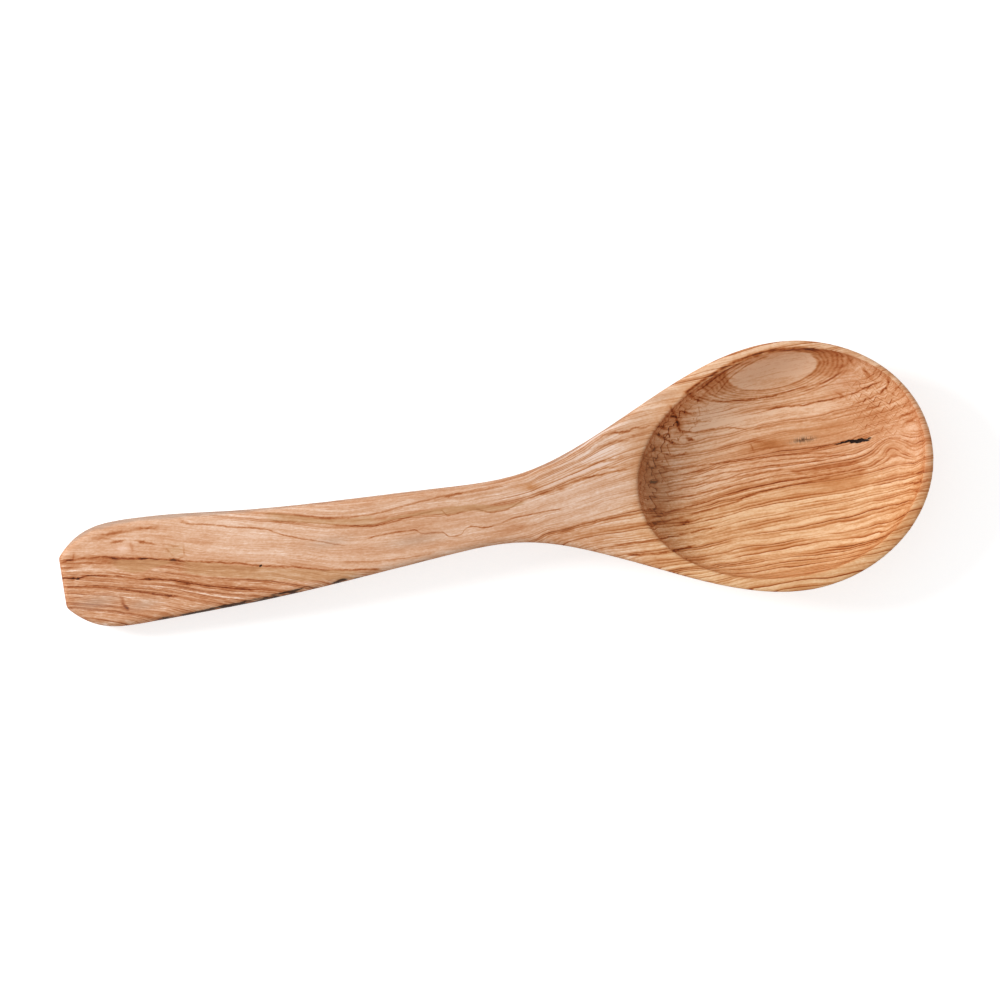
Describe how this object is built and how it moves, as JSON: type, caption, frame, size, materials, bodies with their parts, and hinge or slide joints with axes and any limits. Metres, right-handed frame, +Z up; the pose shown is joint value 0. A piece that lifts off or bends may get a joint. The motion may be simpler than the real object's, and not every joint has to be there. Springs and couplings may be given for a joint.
{
  "type": "wooden spoon",
  "caption": "One-piece olive wood serving spoon with a deep oval bowl, a slim neck and a broad, square-ended flat handle.",
  "frame": {"origin": "middle of the spoon's length and width, on the surface that it lies on", "axes": "+X from the butt of the handle to the tip of the bowl, +Y across the bowl, +Z up out of the hollow"},
  "size_m": [0.25, 0.0708, 0.022],
  "materials": {
    "olive_wood": "sanded smooth and oiled, satin, with strong brown growth lines"
  },
  "bodies": {
    "root": {"spoon": "olive_wood"}
  },
  "joints": []
}
